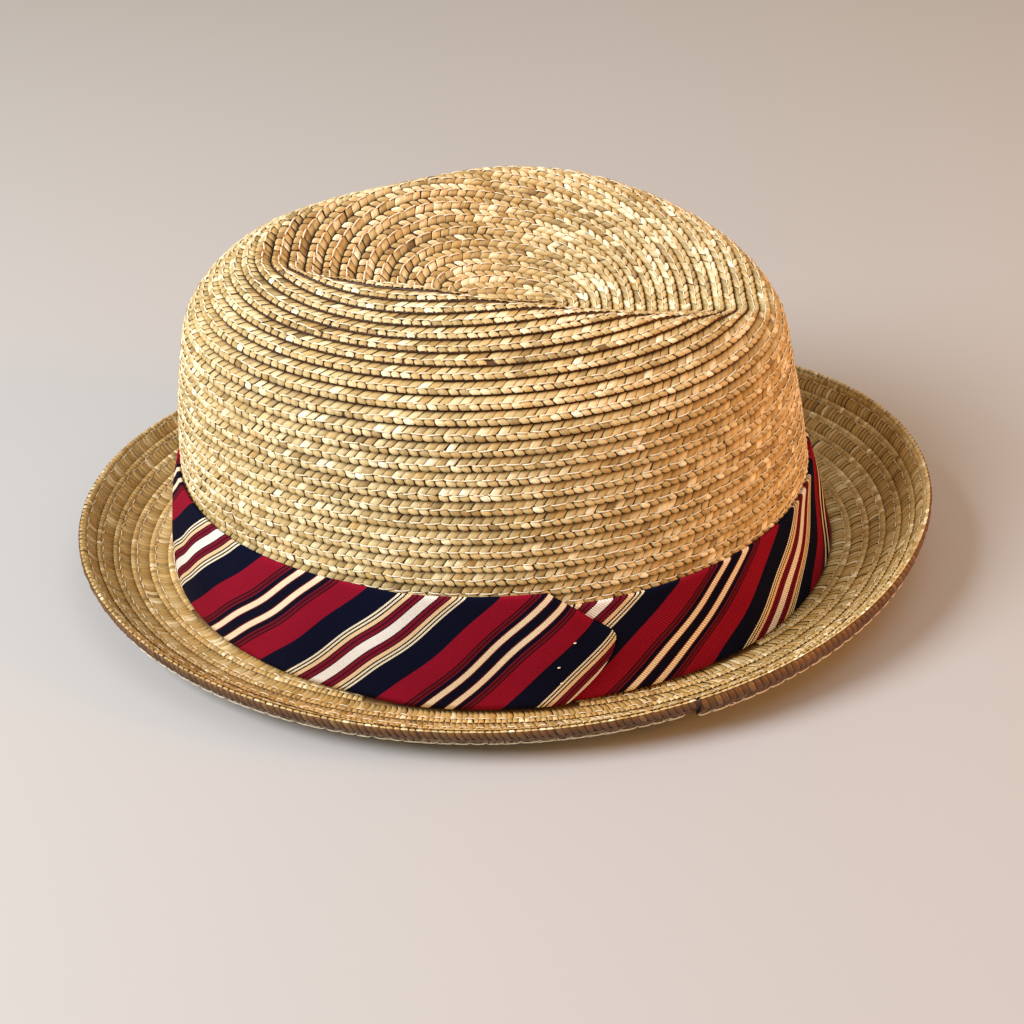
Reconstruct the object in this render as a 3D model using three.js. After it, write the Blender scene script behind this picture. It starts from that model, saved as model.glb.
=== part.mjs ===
// A straw fedora in millimetres: +Z up, standing on its brim, front towards -Y, wearer's left towards +X.
import * as THREE from 'three'

// Straw wall and clearances
const straw = 2.2
const gap = 0.3

// Head oval at the foot of the crown: outside half width, and how much longer each end is
const crownHalfWidth = 85
const ovalStretch = 16

// Open crown before it is dented, one row for each station from the tip to the foot
const crownStations = [
  { radius: 0, height: 120 },
  { radius: 6, height: 119.8 },
  { radius: 15, height: 118.7 },
  { radius: 30, height: 113.8 },
  { radius: 45, height: 106 },
  { radius: 57, height: 96.9 },
  { radius: 66, height: 88.9 },
  { radius: 73.2, height: 78 },
  { radius: 75.8, height: 66 },
  { radius: 79.5, height: 45 },
  { radius: 82, height: 24 },
  { radius: crownHalfWidth, height: 0 },
]
const tipShift = { x: -5.25, y: 10.1 }  // where the spiral of braid starts, from the middle of the head oval
const tipStretch = 10.4                // half length of the first straight run of braid
const tipFade = 0.87                   // share of the crown over which the tip's own oval gives way

// Dent in the top: a valley cuts the crown off, its bottom line lowest behind the middle, its sides sloping up
const dent = { height: 78.25, lowest: 22.5, front: 0.00267, back: 0.00133, middle: -2, bottom: 6, round: 4 }
const dentSlope = { mean: 0.639, back: 0.00111, ends: -0.0000426 }
const frontBulge = { extra: 0.042, from: 25, full: 85 }  // extra length of the crown's upper front, by height
const lean = 0.047                     // how far the crown leans forward for each mm of height
const topSlope = 0.0005                // drop of the top towards the back, for each mm of length and height
const footBlend = 25                   // height up to which the crown follows the rise of the brim's root
const pinches = [
  { angle: -33.2, height: 105.4, depth: 16.9, spread: 35.1, reach: 11.7 },
  { angle: -146.8, height: 105.4, depth: 16.9, spread: 35.1, reach: 11.7 },
]

// Brim: its width and slopes all round, as a mean with a front to back and a side to end change
const brimWidth = { mean: 33.2, back: 1.9, sides: -5.8 }
const rootSlope = { mean: -12.3, back: 6.35, sides: -5.45 }
const rimSlope = { mean: 55.5, back: 3.3, sides: -2.6 }
const brimCurl = 0.81                  // power with which the slope grows from the root to the rim
const brimDip = 2                      // depth of the brim's lowest ring below the foot of the crown
const restFlat = 0.35                  // height up to which the underside is flat where it rests
const footHeight = straw + brimDip

// Last turn of braid round the outside of the rim
const rimBraid = { width: 5.9, thickness: 1.2, past: 4, endAngle: 24, turn: 359.6, lift: 1.1, liftFades: 60 }

// Cloth band: a strip that starts under its own front end on the wearer's left
const band = { thickness: 1.5, leftHeight: 33.6, rightHeight: 28, flare: 2.5, flarePower: 1.5, clear: 0.4 }
const bandAngles = { start: -10, lapStart: 336, lapFull: 348, topEnd: 369.5, cornerEnd: 378.5, footEnd: 370 }
const bandCorner = 0.57                // height of the lap's rounded corner, as a share of the band
const bandRise = { from: 110, to: 250 }  // angles round the back between which the band gets taller

// Facets
const sides = 64
const crownRings = { first: 0.03, fold: 0.52, inside: 6, beside: 0.018, outside: 6, wallFrom: 0.57, wall: 7 }
const brimSteps = 10
const sectionSteps = 48
const rimSteps = 68
const rimRows = 3
const bandSteps = 78
const bandRows = 5
const halvings = 24
const normalStep = 0.004

const radians = THREE.MathUtils.degToRad
const lerp = THREE.MathUtils.lerp
const smooth = (value, from, to) => THREE.MathUtils.smoothstep(value, from, to)
const spread = (from, to, steps) => Array.from({ length: steps + 1 }, (_, i) => lerp(from, to, i / steps))

// A size that changes round the hat: the back adds what the front loses, the sides what the ends lose
function around(size, angle) {
  return size.mean + size.back * Math.sin(angle) + size.sides * Math.cos(2 * angle)
}

// Section of the brim at one angle: points of its top from the root, at equal steps along the straw
function brimSection(angle) {
  const width = around(brimWidth, angle)
  const step = width / sectionSteps
  const points = [{ reach: 0, rise: 0 }]
  for (let i = 0; i < sectionSteps; i++) {
    const share = ((i + 0.5) / sectionSteps) ** brimCurl
    const slope = radians(lerp(around(rootSlope, angle), around(rimSlope, angle), share))
    const last = points[i]
    points.push({ reach: last.reach + step * Math.cos(slope), rise: last.rise + step * Math.sin(slope) })
  }
  const low = Math.min(...points.map((point) => point.rise))
  return points.map((point) => ({ reach: point.reach, rise: point.rise - low - brimDip }))
}

// Point on the top of the brim, a distance along the straw from the foot of the crown
function brimPoint(angle, distance) {
  const section = brimSection(angle)
  const place = (Math.max(distance, 0) / around(brimWidth, angle)) * sectionSteps
  const i = Math.min(Math.floor(place), sectionSteps - 1)
  const inward = Math.min(distance, 0)
  const reach = lerp(section[i].reach, section[i + 1].reach, place - i) + inward
  const rise = lerp(section[i].rise, section[i + 1].rise, place - i)
  const radius = crownHalfWidth + reach
  const x = radius * Math.cos(angle)
  const y = (radius + ovalStretch) * Math.sin(angle)
  return new THREE.Vector3(x, y, footHeight + rise)
}

const meridian = new THREE.SplineCurve(crownStations.map((row) => new THREE.Vector2(row.radius, row.height)))

// Point of the open crown: along runs from 0 at the tip to 1 at the foot
function openCrown(angle, along) {
  const station = meridian.getPointAt(along)
  const tip = smooth(1 - along / tipFade, 0, 1)
  const stretch = lerp(ovalStretch, tipStretch, tip)
  const x = station.x * Math.cos(angle) + tipShift.x * tip
  const y = (station.x + stretch) * Math.sin(angle) + tipShift.y * tip
  return new THREE.Vector3(x, y, station.y)
}

// Height of the valley that the dent presses into the crown
function dentValley(x, y) {
  const away = y - dent.lowest
  const bottom = dent.height + (away < 0 ? dent.front : dent.back) * away ** 2
  const slope = dentSlope.mean + dentSlope.back * y + dentSlope.ends * y ** 2
  return bottom + slope * (Math.hypot(x - dent.middle, dent.bottom) - dent.bottom)
}

// Where the crown crosses the valley: the ridge round the dent
function ridgeAlong(angle) {
  let low = 0
  let high = crownRings.fold
  for (let i = 0; i < halvings; i++) {
    const middle = (low + high) / 2
    const point = openCrown(angle, middle)
    if (point.z > dentValley(point.x, point.y)) low = middle
    else high = middle
  }
  return low
}

// Point on the outside of the dented crown
function crownPoint(angle, along) {
  const open = openCrown(angle, along)
  let { x, y } = open
  const valley = dentValley(x, y)
  const above = open.z - valley
  let z = valley + (above - Math.hypot(above, dent.round)) / 2
  for (const pinch of pinches) {
    const degrees = THREE.MathUtils.radToDeg(angle) - pinch.angle
    const turn = THREE.MathUtils.euclideanModulo(degrees + 180, 360) - 180
    const away = (turn / pinch.spread) ** 2 + ((z - pinch.height) / pinch.reach) ** 2
    const inward = 1 - (pinch.depth / crownHalfWidth) * Math.exp(-away)
    x *= inward
    y *= inward
  }
  const bulge = frontBulge.extra * smooth(open.z, frontBulge.from, frontBulge.full)
  y *= 1 + bulge * Math.max(0, -Math.sin(angle))
  y -= lean * z
  z *= 1 - topSlope * y
  const foot = brimPoint(angle, 0).z - footHeight + gap
  z += foot * Math.max(0, 1 - z / footBlend) ** 2
  return new THREE.Vector3(x, y, z + footHeight)
}

// Point a distance out from the crown's wall, at a height above the foot of the crown
function besideCrown(angle, height, out) {
  let low = 0.5
  let high = 1
  for (let i = 0; i < halvings; i++) {
    const middle = (low + high) / 2
    if (crownPoint(angle, middle).z > height) low = middle
    else high = middle
  }
  const along = crownPoint(angle, Math.min(low + normalStep, 1)).sub(crownPoint(angle, low - normalStep))
  const across = crownPoint(angle + normalStep, low).sub(crownPoint(angle - normalStep, low))
  const normal = along.cross(across).normalize()
  return crownPoint(angle, low).addScaledVector(normal, out)
}

// Grid of points moved along its own normals
function offset(grid, distance, closed) {
  const last = grid.length - 1
  return grid.map((row, i) => row.map((point, j) => {
    const count = row.length
    const before = closed ? (j + count - 1) % count : Math.max(j - 1, 0)
    const after = closed ? (j + 1) % count : Math.min(j + 1, count - 1)
    const across = row[after].clone().sub(row[before])
    const along = grid[Math.min(i + 1, last)][j].clone().sub(grid[Math.max(i - 1, 0)][j])
    return point.clone().addScaledVector(along.cross(across).normalize(), distance)
  }))
}

// Closed solid between two grids of the same size; tips, if any, close the first rows with fans
function solid(outer, inner, closed, tips) {
  const rows = outer.length
  const columns = outer[0].length
  const spans = closed ? columns : columns - 1
  const points = [...outer.flat(), ...inner.flat()]
  const index = []
  const at = (side, i, j) => side * rows * columns + i * columns + (j % columns)
  const quad = (a, b, c, d) => index.push(a, b, c, a, c, d)
  for (let j = 0; j < spans; j++) {
    for (let i = 0; i < rows - 1; i++) {
      quad(at(0, i, j), at(0, i + 1, j), at(0, i + 1, j + 1), at(0, i, j + 1))
      quad(at(1, i, j), at(1, i, j + 1), at(1, i + 1, j + 1), at(1, i + 1, j))
    }
    quad(at(0, rows - 1, j), at(1, rows - 1, j), at(1, rows - 1, j + 1), at(0, rows - 1, j + 1))
    if (!tips) quad(at(0, 0, j), at(0, 0, j + 1), at(1, 0, j + 1), at(1, 0, j))
    else {
      index.push(points.length, at(0, 0, j), at(0, 0, j + 1))
      index.push(points.length + 1, at(1, 0, j + 1), at(1, 0, j))
    }
  }
  if (tips) points.push(...tips)
  if (!closed) {
    for (let i = 0; i < rows - 1; i++) {
      quad(at(0, i, 0), at(1, i, 0), at(1, i + 1, 0), at(0, i + 1, 0))
      quad(at(0, i, spans), at(0, i + 1, spans), at(1, i + 1, spans), at(1, i, spans))
    }
  }
  const geometry = new THREE.BufferGeometry().setFromPoints(points)
  geometry.setIndex(index)
  geometry.computeVertexNormals()
  return geometry
}

const group = new THREE.Group()

// Adds one named piece with its own material
function add(name, geometry, color, roughness) {
  const mesh = new THREE.Mesh(geometry, new THREE.MeshStandardMaterial({ color, roughness, metalness: 0 }))
  mesh.name = name
  group.add(mesh)
}

const angles = spread(0, 2 * Math.PI, sides).slice(0, -1)

// Shares of the way down the crown at one angle, close together on both sides of the ridge
function ringsAt(angle) {
  const { first, fold, inside, beside, outside, wallFrom, wall } = crownRings
  const ridge = ridgeAlong(angle)
  const dented = spread(first, ridge - beside, inside)
  const shoulder = spread(ridge + beside, fold, outside)
  return [...dented, ridge, ...shoulder, ...spread(wallFrom, 1, wall)]
}

// Crown: the dented dome and its inner skin, open at the foot
function crown() {
  const columns = angles.map((angle) => ringsAt(angle).map((share) => crownPoint(angle, share)))
  const outer = columns[0].map((_, i) => columns.map((column) => column[i]))
  const inner = offset(outer, -straw, true)
  const foot = inner.length - 1
  inner[foot].forEach((point, j) => { point.z = outer[foot][j].z })
  const top = crownPoint(0, 0)
  return solid(outer, inner, true, [top, top.clone().setZ(top.z - straw)])
}

// Brim: from the inside of the crown's wall to just short of the rim, flat below where it rests
function brim() {
  const shares = spread(0, 1, brimSteps)
  const reachOf = (angle) => around(brimWidth, angle) - rimBraid.past
  const top = [-straw, ...shares].map((share) => (
    angles.map((angle) => brimPoint(angle, share < 0 ? share : share * reachOf(angle)))
  ))
  const under = offset(top, -straw, true)
  for (const point of under.flat()) {
    if (point.z < restFlat) point.z = 0
  }
  return solid(top, under, true)
}

// Rim braid: one turn on the outside of the edge, standing out at its free end
function rimTurn() {
  const turn = spread(rimBraid.endAngle, rimBraid.endAngle + rimBraid.turn, rimSteps)
  const rows = spread(-rimBraid.width, 0, rimRows).map((back) => turn.map((degrees) => {
    const angle = radians(degrees)
    return brimPoint(angle, around(brimWidth, angle) + back)
  }))
  const proud = turn.map((degrees) => (
    rimBraid.lift * (1 - smooth(degrees - rimBraid.endAngle, 0, rimBraid.liftFades))
  ))
  const place = (out) => {
    const moved = offset(rows, -1, false)
    return rows.map((row, i) => row.map((point, j) => (
      point.clone().addScaledVector(moved[i][j].clone().sub(point), out + proud[j])
    )))
  }
  return solid(place(straw + gap), place(straw + gap + rimBraid.thickness), false)
}

// Band: a strip of cloth round the foot of the crown, its front end lapped over its start
function bandStrip() {
  const endAt = (share) => (share < bandCorner
    ? lerp(bandAngles.footEnd, bandAngles.cornerEnd, Math.sin((share / bandCorner) * Math.PI / 2))
    : lerp(bandAngles.cornerEnd, bandAngles.topEnd, (share - bandCorner) / (1 - bandCorner)))
  const skin = (depth) => spread(1, 0, bandRows).map((share) => spread(0, 1, bandSteps).map((part) => {
    const degrees = lerp(bandAngles.start, endAt(share), part)
    const angle = radians(degrees)
    const lap = smooth(degrees, bandAngles.lapStart, bandAngles.lapFull) * (band.thickness + gap)
    const flare = band.flare * (1 - share) ** band.flarePower
    const out = band.clear + flare + lap + depth
    const topHeight = lerp(band.rightHeight, band.leftHeight, smooth(degrees, bandRise.from, bandRise.to))
    const foot = brimPoint(angle, band.flare + lap + band.thickness).z + gap
    return besideCrown(angle, lerp(foot, footHeight + topHeight, share), out)
  }))
  return solid(skin(band.thickness), skin(0), false)
}

add('crown', crown(), 0xd3ab66, 0.6)
add('brim', brim(), 0xc99e57, 0.6)
add('rim_braid', rimTurn(), 0xb98d48, 0.6)
add('band', bandStrip(), 0x5a1626, 0.9)

// The origin lies on the table below the middle of the hat's outline
const middle = new THREE.Box3().setFromObject(group).getCenter(new THREE.Vector3())
for (const piece of group.children) piece.position.set(-middle.x, -middle.y, 0)

export default group
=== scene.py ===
import math

import bpy
import numpy as np
from mathutils import Matrix, Vector


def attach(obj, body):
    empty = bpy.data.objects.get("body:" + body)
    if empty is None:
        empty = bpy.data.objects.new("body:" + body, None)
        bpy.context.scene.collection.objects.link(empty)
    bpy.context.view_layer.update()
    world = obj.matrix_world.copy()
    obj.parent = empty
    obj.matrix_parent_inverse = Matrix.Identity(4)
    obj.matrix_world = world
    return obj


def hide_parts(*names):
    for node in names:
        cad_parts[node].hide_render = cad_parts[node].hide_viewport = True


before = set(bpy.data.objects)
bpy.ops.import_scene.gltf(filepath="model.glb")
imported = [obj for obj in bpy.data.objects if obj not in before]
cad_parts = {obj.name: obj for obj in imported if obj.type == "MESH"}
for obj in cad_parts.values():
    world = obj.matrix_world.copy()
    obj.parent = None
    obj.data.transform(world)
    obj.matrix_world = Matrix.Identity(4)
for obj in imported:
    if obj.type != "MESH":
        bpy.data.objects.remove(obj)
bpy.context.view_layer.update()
mm = 0.001
rng = np.random.default_rng(57)

# Form of the hat in millimetres: the same values as the solids have
hat = {
    "wall": 2.2, "gap": 0.3, "foot": 4.2, "dip": 2.0,
    "halfWidth": 85.0, "stretch": 16.0,
    "tipX": -5.25, "tipY": 10.1, "tipStretch": 10.4, "tipFade": 0.87,
    "dentHeight": 78.25, "dentLowest": 22.5, "dentFront": 0.00267, "dentBack": 0.00133,
    "dentMiddle": -2.0, "dentBottom": 6.0, "dentRound": 4.0, "dentSlope": (0.639, 0.00111, -0.0000426),
    "bulge": 0.042, "bulgeFrom": 25.0, "bulgeFull": 85.0,
    "lean": 0.047, "topSlope": 0.0005, "footBlend": 25.0,
    "pinchAngles": (-33.2, -146.8), "pinchHeight": 105.4, "pinchDepth": 16.9,
    "pinchSpread": 35.1, "pinchReach": 11.7,
    "brimWidth": (33.2, 1.9, -5.8), "rootSlope": (-12.3, 6.35, -5.45), "rimSlope": (55.5, 3.3, -2.6),
    "brimCurl": 0.81, "shiftX": -0.005, "shiftY": -0.382,
}
# radius and height of the open crown, from the tip to the foot
crownStations = np.array([
    (0, 120), (6, 119.8), (15, 118.7), (30, 113.8), (45, 106), (57, 96.9),
    (66, 88.9), (73.2, 78), (75.8, 66), (79.5, 45), (82, 24), (85, 0),
], float)


def smooth(value, low, high):
    # from 0 at low to 1 at high, level at both ends
    t = np.clip((value - low) / (high - low), 0, 1)
    return t * t * (3 - 2 * t)


def around(size, angle):
    # mean, plus a front to back share by sine, plus a side to end share by double cosine
    return size[0] + size[1] * np.sin(angle) + size[2] * np.cos(2 * angle)


def runAlong(line):
    # length along a line of points, at each of them
    return np.concatenate([[0], np.cumsum(np.linalg.norm(np.diff(line, axis=0), axis=1))])


def meridianTable(steps=6001):
    # Catmull-Rom curve through the stations, with the share of its length at each sample
    last = len(crownStations) - 1
    t = np.linspace(0, last, steps)
    i = np.minimum(t.astype(int), last - 1)
    w = (t - i)[:, None]
    before, start = crownStations[np.maximum(i - 1, 0)], crownStations[i]
    end, after = crownStations[i + 1], crownStations[np.minimum(i + 2, last)]
    out, into = (end - before) / 2, (after - start) / 2
    cube = 2 * start - 2 * end + out + into
    square = 3 * end - 3 * start - 2 * out - into
    points = cube * w**3 + square * w**2 + out * w + start
    run = runAlong(points)
    return run / run[-1], points[:, 0], points[:, 1]


meridianShare, meridianRadius, meridianHeight = meridianTable()


def brimWidth(angle):
    # from the foot of the crown to the rim, along the straw
    return around(hat["brimWidth"], angle)


def brimTables(angles=721, steps=48):
    # reach and rise of the brim's section: the slope turns from root to rim with a power of the share
    angle = np.radians(np.linspace(0, 360, angles))
    share = ((np.arange(steps) + 0.5) / steps) ** hat["brimCurl"]
    root, rim = around(hat["rootSlope"], angle)[:, None], around(hat["rimSlope"], angle)[:, None]
    slope = np.radians(root + (rim - root) * share)
    step = (brimWidth(angle) / steps)[:, None]
    start = np.zeros((angles, 1))
    reach = np.concatenate([start, np.cumsum(step * np.cos(slope), 1)], 1)
    rise = np.concatenate([start, np.cumsum(step * np.sin(slope), 1)], 1)
    return reach, rise - rise.min(1, keepdims=True) - hat["dip"]


reachTable, riseTable = brimTables()


def lookUp(table, angle, share):
    # value between the four nearest entries of a table over angle and share
    a = np.mod(np.degrees(angle), 360) * (table.shape[0] - 1) / 360
    b = np.clip(share, 0, 1) * (table.shape[1] - 1)
    i, j = np.minimum(a.astype(int), table.shape[0] - 2), np.minimum(b.astype(int), table.shape[1] - 2)
    fa, fb = a - i, b - j
    near = table[i, j] * (1 - fb) + table[i, j + 1] * fb
    far = table[i + 1, j] * (1 - fb) + table[i + 1, j + 1] * fb
    return near * (1 - fa) + far * fa


def brimPoint(angle, distance):
    # top of the brim, a distance along the straw from the foot of the crown, straight on past the rim
    angle, distance = np.broadcast_arrays(np.asarray(angle, float), np.asarray(distance, float))
    width = brimWidth(angle)
    past = np.maximum(distance - width, 0)
    slope = np.radians(around(hat["rimSlope"], angle))
    reach = lookUp(reachTable, angle, distance / width) + np.minimum(distance, 0) + past * np.cos(slope)
    rise = lookUp(riseTable, angle, distance / width) + past * np.sin(slope)
    radius = hat["halfWidth"] + reach
    x = radius * np.cos(angle) + hat["shiftX"]
    y = (radius + hat["stretch"]) * np.sin(angle) + hat["shiftY"]
    return np.stack([x, y, hat["foot"] + rise], -1)


def openCrown(angle, along):
    # oval dome before it is dented, from 0 at the tip to 1 at the foot
    radius = np.interp(along, meridianShare, meridianRadius)
    height = np.interp(along, meridianShare, meridianHeight)
    tip = smooth(1 - along / hat["tipFade"], 0, 1)
    stretch = hat["stretch"] + (hat["tipStretch"] - hat["stretch"]) * tip
    x = radius * np.cos(angle) + hat["tipX"] * tip
    y = (radius + stretch) * np.sin(angle) + hat["tipY"] * tip
    return x, y, height


def dentValley(x, y):
    # height of the valley in the crown: a bottom line from front to back, and sides sloping up from it
    away = y - hat["dentLowest"]
    bottom = hat["dentHeight"] + np.where(away < 0, hat["dentFront"], hat["dentBack"]) * away**2
    mean, back, ends = hat["dentSlope"]
    slope = mean + back * y + ends * y**2
    return bottom + slope * (np.hypot(x - hat["dentMiddle"], hat["dentBottom"]) - hat["dentBottom"])


def crownPoint(angle, along):
    # outside of the crown: the dome, cut off by the valley with a rounded ridge between them
    angle, along = np.broadcast_arrays(np.asarray(angle, float), np.asarray(along, float))
    x, y, height = openCrown(angle, along)
    valley = dentValley(x, y)
    above = height - valley
    z = valley + (above - np.hypot(above, hat["dentRound"])) / 2
    for pinchAngle in hat["pinchAngles"]:
        turn = np.mod(np.degrees(angle) - pinchAngle + 180, 360) - 180
        away = (turn / hat["pinchSpread"]) ** 2 + ((z - hat["pinchHeight"]) / hat["pinchReach"]) ** 2
        inward = 1 - hat["pinchDepth"] / hat["halfWidth"] * np.exp(-away)
        x, y = x * inward, y * inward
    bulge = hat["bulge"] * smooth(height, hat["bulgeFrom"], hat["bulgeFull"])
    y = y * (1 + bulge * np.maximum(0, -np.sin(angle)))
    y = y - hat["lean"] * z
    z = z * (1 - hat["topSlope"] * y)
    root = lookUp(riseTable, angle, np.zeros_like(angle)) + hat["gap"]
    z = z + root * np.maximum(0, 1 - z / hat["footBlend"]) ** 2
    return np.stack([x + hat["shiftX"], y + hat["shiftY"], z + hat["foot"]], -1)


# steps for normals: turns and shares of a row, radians and mm on the brim, radians and shares on the crown
rowSteps = (2e-4, 4e-3)
brimSteps = (2e-3, 0.05)
wallSteps = (4e-3, 4e-3)
footSteps = (2e-3, 4e-3)
tinyLength = 1e-9  # stands for the length of a normal that has none


def withNormals(surface, first, second, steps):
    # points of a surface and its unit normals, from central differences
    a = surface(first + steps[0], second) - surface(first - steps[0], second)
    b = surface(first, second + steps[1]) - surface(first, second - steps[1])
    normal = np.cross(a, b)
    size = np.maximum(np.linalg.norm(normal, axis=-1, keepdims=True), tinyLength)
    return surface(first, second), normal / size


def hexColour(code):
    # sRGB hex to linear with full alpha
    part = np.array([int(code[i:i + 2], 16) for i in (1, 3, 5)]) / 255
    linear = np.where(part <= 0.04045, part / 12.92, ((part + 0.055) / 1.055) ** 2.4)
    return (*linear.tolist(), 1.0)


def addNode(tree, kind, settings=None, links=None, values=None):
    # one node with its settings, its linked inputs and its fixed inputs; a node that is linked
    # stands for its first output
    made = tree.nodes.new(kind)
    for name, value in (settings or {}).items():
        setattr(made, name, value)
    for name, value in (values or {}).items():
        made.inputs[name].default_value = value
    for name, source in (links or {}).items():
        socket = source.outputs[0] if isinstance(source, bpy.types.Node) else source
        tree.links.new(socket, made.inputs[name])
    return made


def newMaterial(name):
    made = bpy.data.materials.new(name)
    made.use_nodes = True
    made.node_tree.nodes.clear()
    return made, made.node_tree


def setRamp(ramp, stops, interpolation="LINEAR"):
    # stops are (place, hex colour) pairs in order
    ramp.interpolation = interpolation
    while len(ramp.elements) < len(stops):
        ramp.elements.new(1.0)
    for element, (place, code) in zip(ramp.elements, stops):
        element.position = place
        element.color = hexColour(code)


def newObject(name, data):
    made = bpy.data.objects.new(name, data)
    bpy.context.scene.collection.objects.link(made)
    return made


def gridQuads(rows, columns):
    # quads of a grid whose points are numbered row by row
    i, j = np.meshgrid(np.arange(rows - 1), np.arange(columns - 1), indexing="ij")
    corner = (i * columns + j).ravel()
    return np.stack([corner, corner + columns, corner + columns + 1, corner + 1], 1)


def makePiece(name, points, faces, material, slotName, uv=None, tone=None, extra=()):
    # a smooth mesh in metres at the origin, riding on the hat
    mesh = bpy.data.meshes.new(name)
    polygons = faces.tolist() + [list(face) for face in extra]
    mesh.from_pydata((points.reshape(-1, 3) * mm).tolist(), [], polygons)
    if uv is not None:
        corner = np.empty(len(mesh.loops), np.int32)
        mesh.loops.foreach_get("vertex_index", corner)
        layer = mesh.uv_layers.new(name="flat")
        layer.data.foreach_set("uv", uv.reshape(-1, 2)[corner].astype(np.float32).ravel())
    if tone is not None:
        layer = mesh.attributes.new("tone", "FLOAT_VECTOR", "POINT")
        layer.data.foreach_set("vector", tone.reshape(-1, 3).astype(np.float32).ravel())
    mesh.materials.append(material)
    mesh.shade_smooth()
    mesh.validate()
    piece = newObject(name, mesh)
    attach(piece, "root")
    print(name, len(faces) * 2, "triangles")
    return piece


def makePlait(name, plait, material):
    # a piece of straw from the points, faces, UV and tones of its leaves
    points, faces, uv, tone = plait
    return makePiece(name, points, faces, material, "straw", uv, tone)


# Wheat straw, split, plaited and sewn: each flattened straw is satin, streaked lengthwise, with its own shade
plaitLook = {
    "shades": (
        (0.0, "#5d4827"), (0.22, "#8c7344"), (0.45, "#b6a16e"),
        (0.66, "#d2bf90"), (0.84, "#e9dcb4"), (1.0, "#f8f1da"),
    ),
    "warm": "#c79b4e", "streakMm": 0.45, "streakLong": 0.4, "streak": 0.44,
    "noise": {"Scale": 1.0, "Detail": 2.0, "Roughness": 0.55},
    "bump": {"Strength": 0.35, "Distance": 0.08 * mm},
    "gloss": {"From Min": 0.3, "From Max": 1.0, "To Min": 0.55, "To Max": 0.34},
    "ior": 1.5,
}


def strawMaterial(name, darken):
    # streaks move each leaf's own shade along the ramp, then its warmth tints it, and pale straw is glossier
    material, tree = newMaterial(name)
    shade = addNode(tree, "ShaderNodeAttribute", {"attribute_name": "tone"})
    parts = addNode(tree, "ShaderNodeSeparateXYZ", links={"Vector": shade.outputs["Vector"]})
    flat = addNode(tree, "ShaderNodeUVMap", {"uv_map": "flat"})
    # UV runs in millimetres across and along each straw, so streaks are drawn long in the second one
    shifted = addNode(tree, "ShaderNodeCombineXYZ", links={"Z": parts.outputs["Z"]})
    place = addNode(tree, "ShaderNodeVectorMath", {"operation": "MULTIPLY_ADD"}, {0: flat, 2: shifted},
                    {1: (1 / plaitLook["streakMm"], plaitLook["streakLong"], 0.0)})
    streak = addNode(tree, "ShaderNodeTexNoise", {"noise_dimensions": "3D"}, {"Vector": place},
                     plaitLook["noise"])
    moved = addNode(tree, "ShaderNodeMath", {"operation": "MULTIPLY_ADD"},
                    {0: streak, 2: parts.outputs["X"]}, {1: plaitLook["streak"]})
    level = addNode(tree, "ShaderNodeMath", {"operation": "ADD", "use_clamp": True}, {0: moved},
                    {1: -plaitLook["streak"] / 2})
    ramp = addNode(tree, "ShaderNodeValToRGB", links={"Fac": level})
    setRamp(ramp.color_ramp, plaitLook["shades"])
    # a colour mix has its factor, first and second colour at sockets 0, 6 and 7
    warm = addNode(tree, "ShaderNodeMix", {"data_type": "RGBA", "blend_type": "MIX"},
                   {0: parts.outputs["Y"], 6: ramp}, {7: hexColour(plaitLook["warm"])})
    # a last tint multiplies the colour: painted shade for the rim, painted shade and painted warm bounced
    # light for the brim
    dim = addNode(tree, "ShaderNodeMix", {"data_type": "RGBA", "blend_type": "MULTIPLY"},
                  {6: warm.outputs[2]}, {0: 1.0, 7: (*darken, 1.0)})
    bump = addNode(tree, "ShaderNodeBump", links={"Height": streak}, values=plaitLook["bump"])
    gloss = addNode(tree, "ShaderNodeMapRange", links={"Value": level}, values=plaitLook["gloss"])
    shader = addNode(tree, "ShaderNodeBsdfPrincipled",
                     links={"Base Color": dim.outputs[2], "Roughness": gloss, "Normal": bump},
                     values={"IOR": plaitLook["ior"]})
    addNode(tree, "ShaderNodeOutputMaterial", links={"Surface": shader})
    return material


# Plain straw and thread: one mottled colour, matt
groundLook = {"grainMm": 2.5, "detail": 3.0, "roughness": 0.65, "ior": 1.5}
threadLook = {"grainMm": 0.5, "detail": 1.0, "roughness": 0.75, "ior": 1.46}
mottleEnds = (0.3, 0.7)  # levels of the noise at which the dark and the light colour are reached


def mottledMaterial(name, look, colours):
    material, tree = newMaterial(name)
    place = addNode(tree, "ShaderNodeTexCoord")
    grain = addNode(tree, "ShaderNodeTexNoise", links={"Vector": place.outputs["Object"]},
                    values={"Scale": 1 / (look["grainMm"] * mm), "Detail": look["detail"]})
    ramp = addNode(tree, "ShaderNodeValToRGB", links={"Fac": grain})
    setRamp(ramp.color_ramp, tuple(zip(mottleEnds, colours)))
    shader = addNode(tree, "ShaderNodeBsdfPrincipled", links={"Base Color": ramp},
                     values={"Roughness": look["roughness"], "IOR": look["ior"]})
    addNode(tree, "ShaderNodeOutputMaterial", links={"Surface": shader})
    return material


# The brim's straw is the same as the crown's, tinted browner and warmer as painted shade and painted warm
# bounced light; the rim's is made much darker as painted shade on its outer face
plaitStraw = strawMaterial("plaited wheat straw", (1.0, 1.0, 1.0))
brimStraw = strawMaterial("plaited wheat straw of the brim", (1.0, 0.91, 0.78))
rimStraw = strawMaterial("plaited wheat straw at the rim in painted shade", (0.24, 0.14, 0.06))
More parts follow.
